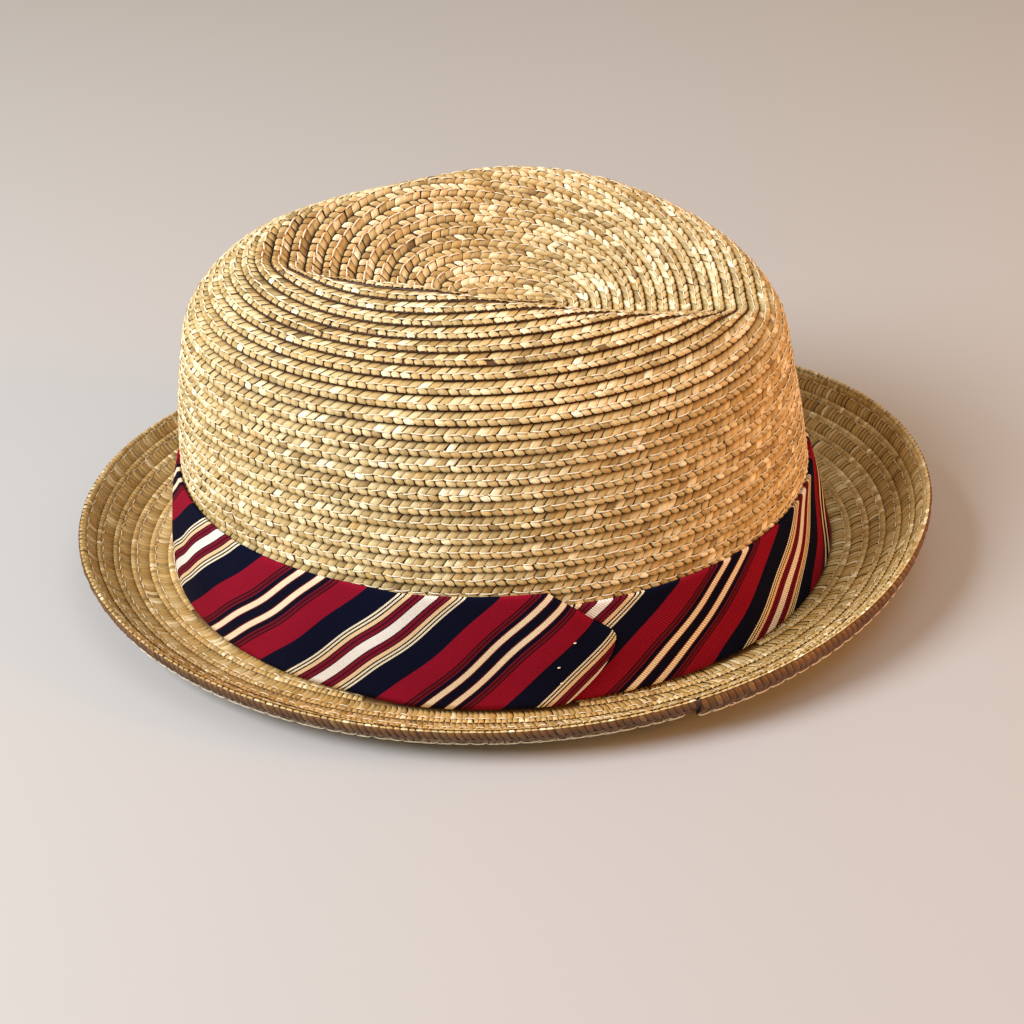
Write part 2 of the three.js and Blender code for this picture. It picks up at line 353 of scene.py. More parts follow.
# Underlying straws seen in the gaps of the plait: the same straw, painted dark brown as painted shade for the
# shadow in the gaps and under each row's edge
shadowGroundStraw = mottledMaterial("straw under the plait", groundLook, ("#341d0d", "#563415"))
brimShadowGroundStraw = mottledMaterial("straw under the plait of the brim", groundLook, ("#5a3c1b", "#7d5a2c"))
innerStraw = mottledMaterial("back of the straw braid", groundLook, ("#8d6d40", "#b3915c"))
# Sewing thread: cream spun cotton, with its twist too fine to show drawn at 0.5 mm
cottonThread = mottledMaterial("cream cotton thread", threadLook, ("#cfc3a4", "#f2e9d4"))
print("straw and thread materials made")


# Braid: cells of plait placed along a spiral row, each one a small domed leaf
def cellTurns(rowPoint, turns, across, cell, samples=40000):
    # turn at the middle of each cell, at equal lengths along the row, and turns for each millimetre there
    fine = np.linspace(turns[0], turns[1], samples)
    run = runAlong(rowPoint(fine, across))
    count = int(run[-1] / cell)
    middle = (np.arange(count) + 0.5) * cell
    turn = np.interp(middle, run, fine)
    perMm = np.interp(middle + 0.5, run, fine) - np.interp(middle - 0.5, run, fine)
    return turn, perMm


# Shades of the leaves: share of pale straws, warmth and spread for each plait, and what all plaits share
plainShades = {"pale": 0.13, "warmth": 0.1, "spread": 0.09}
leafShade = {
    "middle": 0.5, "patch": 0.035, "palePatch": 0.55, "paleFrom": 0.66, "paleSpan": 0.28, "paleCools": 0.35,
    "dull": 0.06, "dullDrop": 0.14, "warmSpread": 0.12, "warmest": 0.7, "darkest": 0.05, "streakSpan": 50,
}
patchWaves = ((41.0, 0.0, 3.0), (67.0, 1.3, 0.0), (13.7, 0.4, 0.0))  # radians to a turn, start, swing
slowWave = 2.3  # radians to a turn of the swing
# how far leaves differ: shares of the width and the lean, millimetres along the row and in height
leafDiffers = {"width": 0.06, "lean": 0.08, "slide": 0.08, "height": 0.05}
dropFrom = 0.6  # share across a leaf from which its end drops


def repeated(quads, count, size):
    # the same quads for each of a count of patches, every one with a size of so many points
    return (quads[None] + (np.arange(count) * size)[:, None, None]).reshape(-1, 4)


def leafTones(turn, shades):
    # shade, warmth and streak place of each leaf: own shade, runs of pale straw, and slow patches,
    # which are the sum of three waves along the row
    count = len(turn)
    slow = np.sin(turn * slowWave)
    patch = sum(np.sin(turn * wave + start + swing * slow) for wave, start, swing in patchWaves)
    own = shades["spread"] * rng.standard_normal(count)
    shade = leafShade["middle"] + own + leafShade["patch"] * patch
    pale = rng.random(count) < shades["pale"] * (1 + leafShade["palePatch"] * patch)
    shade = np.where(pale, leafShade["paleFrom"] + leafShade["paleSpan"] * rng.random(count), shade)
    dull = rng.random(count) < leafShade["dull"]
    shade = np.where(dull, shade - leafShade["dullDrop"], shade)
    warm = shades["warmth"] + leafShade["warmSpread"] * rng.standard_normal(count)
    warm = np.clip(warm - leafShade["paleCools"] * pale, 0, leafShade["warmest"])
    streak = leafShade["streakSpan"] * rng.random(count)
    return np.stack([np.clip(shade, leafShade["darkest"], 1), warm, streak], -1)


def leaves(rowPoint, outward, turns, cell, leaf, keep=None, shades=plainShades):
    # a leaf is a patch over a (along the row) and b (across it), each from -1 to 1: its middle line
    # leans by slant and bows by bow, its ends taper, and its height is a dome on the row's own rise
    turn, perMm = cellTurns(rowPoint, turns, leaf["middle"], cell)
    tone = leafTones(turn, shades)
    if keep is not None:
        wanted = keep(turn)
        turn, perMm, tone = turn[wanted], perMm[wanted], tone[wanted]
    count = len(turn)
    a = np.linspace(-1, 1, leaf["columns"])[None, None, :]
    a = np.sign(a) * np.abs(a) ** leaf["edge"]
    b = np.linspace(-1, 1, leaf["rows"])[None, :, None]
    wobble = rng.standard_normal((count, 4))[:, :, None, None]
    width = leaf["width"] * (1 + leafDiffers["width"] * wobble[:, 0])
    taper = 1 - leaf["taper"] * np.abs(b) ** 3
    lean = leaf["slant"] * (1 + leafDiffers["lean"] * wobble[:, 1])
    slide = width / 2 * a * taper + lean * b + leaf["bow"] * (1 - b * b) + leafDiffers["slide"] * wobble[:, 2]
    whole = np.ones_like(slide)
    across = leaf["middle"] + leaf["half"] * b * whole
    place = turn[:, None, None] + slide * perMm[:, None, None]
    base, normal = withNormals(rowPoint, place, across, rowSteps)
    dome = (1 - np.abs(a) ** leaf["sides"]) * (1 - leaf["ends"] * np.abs(b) ** 4)
    rise = leaf["low"] + (leaf["high"] - leaf["low"]) * (b + 1) / 2
    drop = leaf["drop"] * (np.maximum(0, b - dropFrom) / (1 - dropFrom)) ** 2
    height = rise + leaf["dome"] * (dome - 1) + leaf["tilt"] * a - drop + leafDiffers["height"] * wobble[:, 3]
    points = base + outward * normal * height[..., None]
    quads = gridQuads(leaf["rows"], leaf["columns"])
    if outward > 0:
        quads = quads[:, ::-1]
    faces = repeated(quads, count, leaf["rows"] * leaf["columns"])
    uv = np.stack([width / 2 * a * whole, leaf["long"] / 2 * b * whole], -1)
    shade, warm, streak = (tone[:, None, None, k] * whole for k in range(3))
    # painted shade: a leaf is darker where it comes out from under the row above, standing for that row's
    # shadow on it
    shaded = leaf["shadow"] * np.maximum(0, -b) ** 2 * whole
    tones = np.stack([shade - shaded, warm, streak], -1)
    return points.reshape(-1, 3), faces, uv.reshape(-1, 2), tones.reshape(-1, 3)


def joined(*parts):
    # several meshes as one: their points, their faces and what goes with each point
    start, faces = 0, []
    for part in parts:
        faces.append(part[1] + start)
        start += len(part[0])
    arrays = [np.concatenate(group) for group in zip(*parts)]
    arrays[1] = np.concatenate(faces)
    return arrays


# How stitches are drawn: points along and round each dash, how loosely it lies in millimetres or as a share,
# how round it is and how deep its ends go
sewing = {
    "along": 6, "round": 4, "lengthSpread": 0.12, "slip": 0.3, "lean": 0.1, "leanSpread": 0.12, "sway": 0.08,
    "roundness": 0.55, "sinks": 0.55,
}


def stitches(rowPoint, outward, turns, stitch, keep=None):
    # running stitches: a half round dash along the row, its ends going down into the straw
    turn, perMm = cellTurns(rowPoint, turns, stitch["middle"], stitch["spacing"])
    if keep is not None:
        wanted = keep(turn)
        turn, perMm = turn[wanted], perMm[wanted]
    count = len(turn)
    a = np.linspace(-1, 1, sewing["along"])[None, :, None]
    c = np.linspace(-1, 1, sewing["round"])[None, None, :]
    loose = rng.standard_normal((count, 3))[:, :, None, None]
    length = stitch["length"] * (1 + sewing["lengthSpread"] * loose[:, 0])
    slide = length / 2 * a * np.ones_like(c) + sewing["slip"] * loose[:, 1]
    lean = sewing["lean"] + sewing["leanSpread"] * loose[:, 2]
    aside = stitch["width"] / 2 * c + lean * a + sewing["sway"] * loose[:, 1]
    across = stitch["middle"] + aside / stitch["pitch"]
    place = turn[:, None, None] + slide * perMm[:, None, None]
    base, normal = withNormals(rowPoint, place, across + np.zeros_like(slide), rowSteps)
    domed = stitch["width"] * sewing["roundness"] * np.sqrt(np.maximum(0, 1 - c * c))
    height = stitch["lift"] + domed - sewing["sinks"] * np.abs(a) ** 4
    points = base + outward * normal * (height + np.zeros_like(slide))[..., None]
    quads = gridQuads(sewing["along"], sewing["round"])
    if outward < 0:
        quads = quads[:, ::-1]
    return points.reshape(-1, 3), repeated(quads, count, sewing["along"] * sewing["round"])


smallestQuad = 1e-3  # quads whose doubled area in square millimetres is less are left out


def tidied(points, faces, *values):
    # leaves out quads without area, as where a row is cut off, and the points that no quad uses
    corners = points[faces]
    size = np.linalg.norm(np.cross(corners[:, 2] - corners[:, 0], corners[:, 3] - corners[:, 1]), axis=1)
    used, numbered = np.unique(faces[size > smallestQuad], return_inverse=True)
    return points[used], numbered.reshape(-1, 4), *(value[used] for value in values)


def spiralGround(rowPoint, outward, turns, perTurn, profile):
    # sawtooth ground of a spiral row: profile rows are (share across, height), and the last one
    # meets the next turn's first
    steps = int(round((turns[1] - turns[0]) * perTurn))
    turn = turns[0] + np.arange(steps + 1) / perTurn
    share, height = np.array(profile).T
    t, q = np.meshgrid(turn, share, indexing="ij")
    base, normal = withNormals(rowPoint, t, q, rowSteps)
    points = (base + outward * normal * height[None, :, None]).reshape(-1, 3)
    faces = gridQuads(steps + 1, len(share))
    return tidied(points, faces if outward > 0 else faces[:, ::-1])


# Crown rows: a spiral from the tip, running clockwise from above, 4.25 mm from row to row;
# plait below the height bandHides lies under the band
crown = {
    "pitch": 4.25, "cell": 2.85, "perTurn": 150, "middle": 0.5, "bandHides": 26.0,
    "firstTurn": -1.0, "rowsInTop": 15.0, "firstStitch": 0.3,
}


def crownRowTable(angles=361, samples=1201, entries=541):
    # share of the open crown at which each row lies: rows keep their pitch from the foot up to the ridge
    # of the dent, and are spread evenly from there to the tip
    angle = np.radians(np.linspace(0, 360, angles))[:, None]
    share = np.linspace(0, 1, samples)
    line = crownPoint(angle, share[None])
    step = np.linalg.norm(np.diff(line, axis=1), axis=2)
    run = np.concatenate([np.zeros((angles, 1)), np.cumsum(step, 1)], 1)
    rows = run[:, -1].mean() / crown["pitch"]
    row = np.linspace(0, rows, entries)
    table = np.empty((angles, entries))
    x, y, height = openCrown(angle, share[None])
    for i, top in enumerate((height < dentValley(x, y)).argmax(1)):
        outside = run[i, -1] - run[i, top]
        length = np.interp(row, [0, rows - outside / crown["pitch"], rows], [0, run[i, top], run[i, -1]])
        table[i] = np.interp(length, run[i], share)
    return table, rows


rowShares, crownRows = crownRowTable()


def crownRow(turn, across):
    # a point of the spiral: so many turns from the tip, and a share across the row from its upper edge
    angle, row = -2 * np.pi * turn, turn + across
    return crownPoint(angle, lookUp(rowShares, angle, row / crownRows))


crownLeaf = {
    "middle": 0.31, "half": 0.25, "slant": 0.78, "bow": 0.03, "width": 2.7, "taper": 0.05, "long": 3.0,
    "sides": 4.0, "edge": 0.4, "ends": 0.3, "low": -0.42, "high": 0.12, "dome": 0.34, "tilt": -0.08,
    "drop": 0.0, "shadow": 0.55, "rows": 5, "columns": 4,
}
crownNub = {
    "middle": 0.79, "half": 0.195, "slant": -0.5, "bow": 0.0, "width": 2.72, "taper": 0.32, "long": 2.0,
    "sides": 3.4, "edge": 0.6, "ends": 0.3, "low": 0.25, "high": 0.75, "dome": 0.5, "tilt": -0.05,
    "drop": 0.3, "shadow": 0.0, "rows": 5, "columns": 5,
}
crownStitch = {
    "middle": 0.575, "spacing": 4.75, "length": 4.1, "width": 0.42, "lift": 0.26, "pitch": crown["pitch"],
}


def aboveBand(turn):
    # whether the middle of the row shows over the band
    return crownRow(turn, crown["middle"])[:, 2] > crown["bandHides"]


# the top rows have more pale straws and a wider spread of tones: partly the straws' own tones, partly painted
# glints of light on the top
topShades = dict(plainShades, pale=0.22, spread=0.12)
for name, turns, shades in (("crown_plait_top", (crown["firstTurn"], crown["rowsInTop"]), topShades),
                            ("crown_plait_side", (crown["rowsInTop"], crownRows - 1), plainShades)):
    parts = joined(*(leaves(crownRow, 1, turns, crown["cell"], leaf, aboveBand, shades)
                     for leaf in (crownLeaf, crownNub)))
    makePlait(name, parts, plaitStraw)
sewn = stitches(crownRow, 1, (crown["firstStitch"], crownRows - 1), crownStitch, aboveBand)
makePiece("crown_stitches", *sewn, cottonThread, "straw")

# section of a row outside and inside: share across, and height over the wall's outside in mm
crownFace = ((0.0, -1.1), (0.07, -0.95), (0.3, -0.78), (0.6, -0.5), (0.85, -0.25), (0.98, -0.2), (1.0, -1.1))
crownBack = ((0.0, -1.9), (0.08, -2.5), (0.5, -2.3), (1.0, -1.9))
# foot of the wall: where its normal is taken, and how far in from the outside the ring starts and ends
crownFoot = {"share": 0.99, "starts": 0.95, "ends": 1.9, "steps": 300}


def footRing():
    # flat ring that closes the wall at the foot of the crown
    count = crownFoot["steps"] + 1
    angle = np.linspace(0, 2 * np.pi, count)
    _, normal = withNormals(crownPoint, angle, crownFoot["share"], footSteps)
    edge = crownPoint(angle, np.ones(count))
    ring = np.stack([edge + crownFoot["starts"] * normal, edge + crownFoot["ends"] * normal], 1)
    return ring.reshape(-1, 3), gridQuads(count, 2)


crownTurns = (crown["firstTurn"], crownRows)
outer = spiralGround(crownRow, 1, crownTurns, crown["perTurn"], crownFace)
crownGround = makePiece("crown_ground", *outer, shadowGroundStraw, "straw")
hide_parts("crown")
points, faces = spiralGround(crownRow, 1, crownTurns, crown["perTurn"], crownBack)
makePiece("crown_inside", *joined((points, faces[:, ::-1]), footRing()), innerStraw, "straw")
print("crown made")

# Brim rows: a spiral that starts at the free end on the rim and runs inward as it goes round. What hides
# a row, and where it ends, is a distance in millimetres from the rim or from the foot of the crown
brim = {
    "pitch": 5.9, "plaitTurns": (-0.95, 6.6), "groundTurns": (-1.0, 8.0), "perTurn": 200,
    "cell": 1.6, "underCell": 2.05, "freeEnd": math.radians(26.6), "sway": 0.42, "inside": -2.2,
    "bandHides": 2.4, "rimHides": 3.0, "edgeHides": 0.8, "underInside": -3.4, "underEdge": 5.5,
    "topMiddle": 0.45, "underMiddle": 0.5, "floorClear": 0.05,
}


def brimDistance(turn, rowsIn):
    # distance from the root of a line that lies so many rows in from the spiral's outer edge
    angle = brim["freeEnd"] + 2 * np.pi * turn
    sway = brim["sway"] * np.maximum(0, -np.sin(angle)) ** 2
    width = brimWidth(angle)
    return angle, np.clip(width - (turn + sway + rowsIn) * brim["pitch"], brim["inside"], width)


def brimRow(turn, across):
    # top of the brim: so many turns from the free end, and a share across the row from its inner edge
    return brimPoint(*brimDistance(turn, 1 - across))


def brimUnder(angle, distance):
    # underside: the top moved down its normals by the wall, flat where it rests
    top, normal = withNormals(brimPoint, angle, distance, brimSteps)
    under = top + hat["wall"] * normal
    return np.concatenate([under[..., :2], np.maximum(under[..., 2:], 0.0)], -1)


def underRow(turn, across):
    # the folded rim braid covers the outer edge below, so the rows end under it
    angle, distance = brimDistance(turn, across)
    return brimUnder(angle, np.minimum(distance, brimWidth(angle) - brim["rimHides"]))


def brimGroundRow(turn, across):
    # the ground of the top ends short of the edge, inside the folded rim braid
    angle, distance = brimDistance(turn, 1 - across)
    return brimPoint(angle, np.minimum(distance, brimWidth(angle) - brim["edgeHides"]))


brimLeaf = {
    "middle": 0.36, "half": 0.36, "slant": 0.0, "bow": 0.6, "width": 1.58, "taper": 0.12, "long": 4.3,
    "sides": 4.0, "edge": 0.4, "ends": 0.5, "low": -0.35, "high": 0.2, "dome": 0.3, "tilt": -0.1,
    "drop": 0.0, "shadow": 0.2, "rows": 5, "columns": 4,
}
brimNub = {
    "middle": 0.86, "half": 0.17, "slant": 0.1, "bow": 0.0, "width": 1.54, "taper": 0.1, "long": 2.0,
    "sides": 4.0, "edge": 0.5, "ends": 0.4, "low": 0.15, "high": 0.45, "dome": 0.5, "tilt": 0.0,
    "drop": 0.3, "shadow": 0.0, "rows": 4, "columns": 4,
}
brimStitch = {
    "middle": 0.7, "spacing": 4.6, "length": 3.2, "width": 0.26, "lift": 0.18, "pitch": brim["pitch"],
}
# the brim's straws are warmer than the crown's as painted warm bounced light, and fewer are pale
brimShades = dict(plainShades, pale=0.09, warmth=0.2)
sunk = -0.45  # the plait below lies inside the wall, so that the hat rests on its flat ring
underLeaf = dict(brimLeaf, width=2.0, low=-0.35 + sunk, high=0.2 + sunk)
underNub = dict(brimNub, width=1.9, low=0.05 + sunk, high=0.3 + sunk)


def brimShows(turn):
    # whether the row shows between the band and the edge
    angle, distance = brimDistance(turn, brim["topMiddle"])
    return (distance > brim["bandHides"]) & (distance < brimWidth(angle) - brim["edgeHides"])


def underShows(turn):
    # whether the row shows between the head opening and the folded rim braid
    angle, distance = brimDistance(turn, brim["underMiddle"])
    return (distance > brim["underInside"]) & (distance < brimWidth(angle) - brim["underEdge"])


def keepAboveFloor(points):
    # no straw goes below the floor
    points[:, 2] = np.maximum(points[:, 2], brim["floorClear"])


brimTurns = brim["plaitTurns"]
parts = joined(*(leaves(brimRow, -1, brimTurns, brim["cell"], leaf, brimShows, brimShades)
                 for leaf in (brimLeaf, brimNub)))
makePlait("brim_plait_top", parts, brimStraw)
parts = tidied(*joined(*(leaves(underRow, -1, brimTurns, brim["underCell"], leaf, underShows)
                         for leaf in (underLeaf, underNub))))
keepAboveFloor(parts[0])
makePlait("brim_plait_under", parts, brimStraw)
sewn = stitches(brimRow, -1, brimTurns, brimStitch, brimShows)
makePiece("brim_stitches", *sewn, cottonThread, "straw")
# sections of a row above and below, as on the crown
brimFace = ((0.0, -1.1), (0.3, -0.9), (0.6, -0.7), (0.9, -0.5), (0.98, -0.5), (1.0, -1.1))
underFace = ((0.0, -1.2), (0.3, -1.0), (0.6, -0.8), (0.9, -0.6), (0.98, -0.62), (1.0, -1.2))
top = spiralGround(brimGroundRow, -1, brim["groundTurns"], brim["perTurn"], brimFace)
under = spiralGround(underRow, -1, brim["groundTurns"], brim["perTurn"], underFace)
keepAboveFloor(under[0])
brimGround = makePiece("brim_ground", *joined(top, under), brimShadowGroundStraw, "straw")
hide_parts("brim")
print("brim made")

# Rim: the last turn of braid, folded over the edge and sewn to the outside, its free end standing proud
# by lift, which fades over so many degrees and across the upper shares of the section
rim = {
    "cell": 2.1, "turns": (0.0, 0.9989), "perTurn": 400,
    "lift": 1.1, "liftFades": 60.0, "liftAcross": (0.2, 0.5), "ground": -0.3,
}
# section from the inside of the edge to the lower border outside: distance past the rim,
# and depth below the top skin
rimSection = np.array([
    (-1.4, 0.0), (-0.5, 0.2), (0.1, 0.6), (0.2, 1.1), (-0.2, 1.6),
    (-1.0, 2.1), (-2.4, 2.7), (-4.0, 3.05), (-5.6, 3.2), (-6.2, 2.75),
])
rimShare = runAlong(rimSection)
rimLength = rimShare[-1]
rimShare = rimShare / rimLength


def rimRow(turn, across):
    # the section carried round the rim: a share of it is a distance along the brim and a depth under it
    turn, across = np.broadcast_arrays(np.asarray(turn, float), np.asarray(across, float))
    angle = brim["freeEnd"] + 2 * np.pi * turn
    distance = brimWidth(angle) + np.interp(across, rimShare, rimSection[:, 0])
    depth = np.interp(across, rimShare, rimSection[:, 1])
    proud = rim["lift"] * (1 - smooth(turn * 360, 0, rim["liftFades"])) * smooth(across, *rim["liftAcross"])
    base, normal = withNormals(brimPoint, angle, distance, brimSteps)
    return base + normal * (depth + proud)[..., None]


rimNub = {
    "middle": 0.1, "half": 0.1, "slant": 0.35, "bow": 0.0, "width": 2.0, "taper": 0.2, "long": 3.0,
    "sides": 3.6, "edge": 0.5, "ends": 0.6, "low": 0.1, "high": 0.1, "dome": 0.32, "tilt": 0.1,
    "drop": 0.0, "shadow": 0.0, "rows": 5, "columns": 4,
}
rimUpper = dict(rimNub, middle=0.36, half=0.165, slant=0.7, low=0.0, high=0.1, dome=0.4)
rimLower = dict(rimNub, middle=0.66, half=0.14, slant=-0.7, low=0.1, high=0.0, dome=0.4)
rimStitch = {
    "middle": 0.84, "spacing": 4.6, "length": 4.5, "width": 0.5, "lift": 0.12, "pitch": rimLength,
}
rimLowStitch = dict(rimStitch, middle=0.93)
rimShades = dict(plainShades, pale=0.08, warmth=0.2)
edgeShades = dict(plainShades, pale=0.1, warmth=0.3)
parts = joined(*(leaves(rimRow, -1, rim["turns"], rim["cell"], leaf, None, rimShades)
                 for leaf in (rimUpper, rimLower)))
makePlait("rim_plait", parts, rimStraw)
parts = leaves(rimRow, -1, rim["turns"], rim["cell"], rimNub, None, edgeShades)
makePlait("rim_edge_plait", parts, plaitStraw)
sewn = joined(*(stitches(rimRow, -1, rim["turns"], line) for line in (rimStitch, rimLowStitch)))
makePiece("rim_stitches", *sewn, cottonThread, "straw")
rimFace = [(share, rim["ground"]) for share in rimShare]
points, faces = spiralGround(rimRow, -1, rim["turns"], rim["perTurn"], rimFace)
lastRow = len(points) - len(rimSection)
caps = (list(range(len(rimSection))), list(range(lastRow, len(points)))[::-1])
rimGround = makePiece("rim_ground", points, faces, shadowGroundStraw, "straw", extra=caps)
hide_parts("rim_braid")
print("rim made")

# Hat band: a bias strip of striped repp, folded along both edges, lapped over its own start on the
# wearer's left; sizes in millimetres, places round the hat in degrees
band = {
    "thickness": 1.4, "leftHeight": 33.8, "rightHeight": 28.0, "riseFrom": 110.0, "riseTo": 250.0,
    "flare": 2.5, "flarePower": 1.5, "clear": 0.4, "start": -10.0, "lapFrom": 336.0, "lapFull": 348.0,
    "topEnd": 370.0, "cornerEnd": 380.5, "footEnd": 371.0, "corner": 0.57, "steps": 560, "thinSteps": 3,
    "puff": 0.35, "pucker": 0.3, "deepest": -0.2, "backShare": 0.35, "stand": 1.4, "standAt": 270,
    "standSpread": 45, "bend": 2.5, "bendFades": 0.6, "sway": 0.5, "swayLength": 7.5, "swayLean": 5,
    "meanRadius": 95, "hem": 0.02, "frontPoints": 21, "backPoints": 7,
    "fold": ((0.993, 0.85), (1.0, 0.5), (0.993, 0.15)),
}
# puckers of the cloth are the sum of waves: share, millimetres to a radian, lean up the band, start
puckers = ((1.0, 6.1, 2.6, 0.0), (0.7, 3.7, -3.1, 1.0), (0.8, 13.0, 0.0, 1.1))
# stripes from the middle of the white one to the middle of the narrow navy one, in mm along the band
stripes = (
    ("#e4e0db", 1.85), ("#0c080b", 0.5), ("#6f1428", 1.3), ("#0f070b", 0.4), ("#6f1428", 1.2),
    ("#0d080b", 0.45), ("#e0c299", 1.5), ("#0c0b0b", 0.6), ("#e6dcc2", 0.75), ("#0c0b0b", 0.55),
    ("#e6dcc2", 0.75), ("#070b22", 9.5), ("#870f27", 8.9), ("#16060b", 0.45), ("#671324", 1.0),
    ("#16060b", 0.45), ("#671324", 0.9), ("#080b1f", 1.6), ("#6a101d", 0.4), ("#e9dcbe", 2.45),
    ("#6a101d", 0.4), ("#080b1f", 1.85),
)
halfRepeat = sum(width for _, width in stripes)
# where the middles of the white (even) and narrow navy (odd) stripes lie, in mm along from 0 degrees
stripePlaces = ((19.0, 0), (65.0, 1), (107.8, 2), (478.7, 12), (516.5, 13), (554.25, 14), (592.8, 15))
# shares of the meridian where the wall starts and where its lowest normal is, and how often to halve
wallSearch = {"top": 0.5, "lowest": 0.996, "halvings": 24}


def besideCrown(angle, height, out):
    # point at a height on the crown's wall, moved out along its normal; the height is found by halving
    low, high = np.full(angle.shape, wallSearch["top"]), np.ones(angle.shape)
    for _ in range(wallSearch["halvings"]):
        middle = (low + high) / 2
        above = crownPoint(angle, middle)[..., 2] > height
        low, high = np.where(above, middle, low), np.where(above, high, middle)
    _, inward = withNormals(crownPoint, angle, np.minimum(low, wallSearch["lowest"]), wallSteps)
    return crownPoint(angle, low) - inward * out[..., None]


def bandEnd(share):
    # angle of the lapped end at a share of the height: rounded below the corner, straight above it
    foot, corner, top = (band[key] for key in ("footEnd", "cornerEnd", "topEnd"))
    lower = foot + (corner - foot) * np.sin(np.minimum(share / band["corner"], 1) * np.pi / 2)
    upper = corner + (top - corner) * (share - band["corner"]) / (1 - band["corner"])
    return np.where(share < band["corner"], lower, upper)


def bandLoop():
    # section of the folded cloth: shares of the height and of the thickness, up the front and down the back
    low, high = band["hem"], 1 - band["hem"]
    front = [(share, 1.0) for share in np.linspace(low, high, band["frontPoints"])]
    topFold = list(band["fold"])
    back = [(share, 0.0) for share in np.linspace(high, low, band["backPoints"])]
    footFold = [(1 - share, 1 - depth) for share, depth in topFold]
    return np.array(front + topFold + back + footFold).T


def stripePhases(strip):
    # count of half repeats along the strip, carried on evenly past the first and last place that is given
    place, phase = np.array(stripePlaces).T
    phases = np.interp(strip, place, phase)
    phases = np.where(strip < place[0], (strip - place[0]) / (place[1] - place[0]), phases)
    return np.where(strip > place[-1], phase[-1] + (strip - place[-1]) / (place[-1] - place[-2]), phases)


def bandPoints():
    # front and back of the cloth: it lies on the crown's wall, flares at its foot over the brim, is puffed
    # and puckered between its edges, stands off in front of the hat and rises over its own start at the lap
    share, depth = bandLoop()
    part = np.linspace(0, 1, band["steps"] + 1)
    part, share, depth = part[:, None], share[None, :], depth[None, :]
    degrees = band["start"] + (bandEnd(share) - band["start"]) * part
    angle = np.radians(degrees)
    lap = smooth(degrees, band["lapFrom"], band["lapFull"]) * (band["thickness"] + hat["gap"])
    flare = band["flare"] * (1 - share) ** band["flarePower"]
    run = np.radians(degrees) * band["meanRadius"]
    bell = np.sin(np.pi * share)
    fold = sum(size * np.sin(run / length + lean * share + start) for size, length, lean, start in puckers)
    ahead = np.exp(-(((np.mod(degrees, 360) - band["standAt"]) / band["standSpread"]) ** 2))
    soft = (band["puff"] + band["stand"] * ahead) * bell + band["pucker"] * fold * bell
    soft = np.maximum(soft, band["deepest"]) * (band["backShare"] + (1 - band["backShare"]) * depth)
    # the cloth thins to a round edge at both ends of the strip
    thin = np.minimum(1, np.minimum(part, 1 - part) * band["steps"] / band["thinSteps"]) ** 0.5
    thick = band["thickness"] * (0.5 + (depth - 0.5) * thin)
    rise = smooth(degrees, band["riseFrom"], band["riseTo"])
    topHeight = band["rightHeight"] + (band["leftHeight"] - band["rightHeight"]) * rise
    foot = brimPoint(angle, band["flare"] + lap + band["thickness"])[..., 2] + hat["gap"]
    height = foot + (hat["foot"] + topHeight - foot) * share
    out = band["clear"] + flare + lap + thick + soft
    points = besideCrown(angle, height, out)
    phases = stripePhases(np.interp(degrees, bandDegrees, bandRun))
    # the stripes of the lapped end are pulled back towards its foot
    bend = band["bend"] * (1 - band["bendFades"] * share) * smooth(degrees, band["lapFrom"], band["topEnd"])
    sway = band["sway"] * np.sin(run / band["swayLength"] + band["swayLean"] * share) * bell
    across = phases * halfRepeat + sway + bend
    uv = np.stack(np.broadcast_arrays(across, height - foot), -1)
    return points, uv


# line along which the strip is measured: degrees round the hat, height and distance out from the wall
bandLine = {"from": -40, "to": 400, "count": 881, "height": 20.0, "out": 2.5}
bandDegrees = np.linspace(bandLine["from"], bandLine["to"], bandLine["count"])
bandOut = np.full(bandLine["count"], bandLine["out"])
bandRun = runAlong(besideCrown(np.radians(bandDegrees), bandLine["height"], bandOut))
bandRun = bandRun - np.interp(0, bandDegrees, bandRun)
print("band line once round", round(float(np.interp(360, bandDegrees, bandRun)), 1), "mm")


# Ribbed cotton repp woven in stripes: matt, with fine cords across the stripes and slightly toothed stripe
# edges; the cords are really 0.5 mm apart, drawn at 0.6 mm to show
reppLook = {
    "slope": math.radians(42.5), "cordMm": 0.6, "middleHeight": 18.0, "tooth": 0.07,
    "slub": {"Scale": 1 / (1.1 * mm), "Detail": 3.0}, "slubShade": 0.2, "cordShade": 0.13, "shade": 0.9,
    "bump": {"Strength": 0.7, "Distance": 0.14 * mm},
    "cloth": {"Roughness": 0.9, "IOR": 1.46, "Specular IOR Level": 0.08},
}


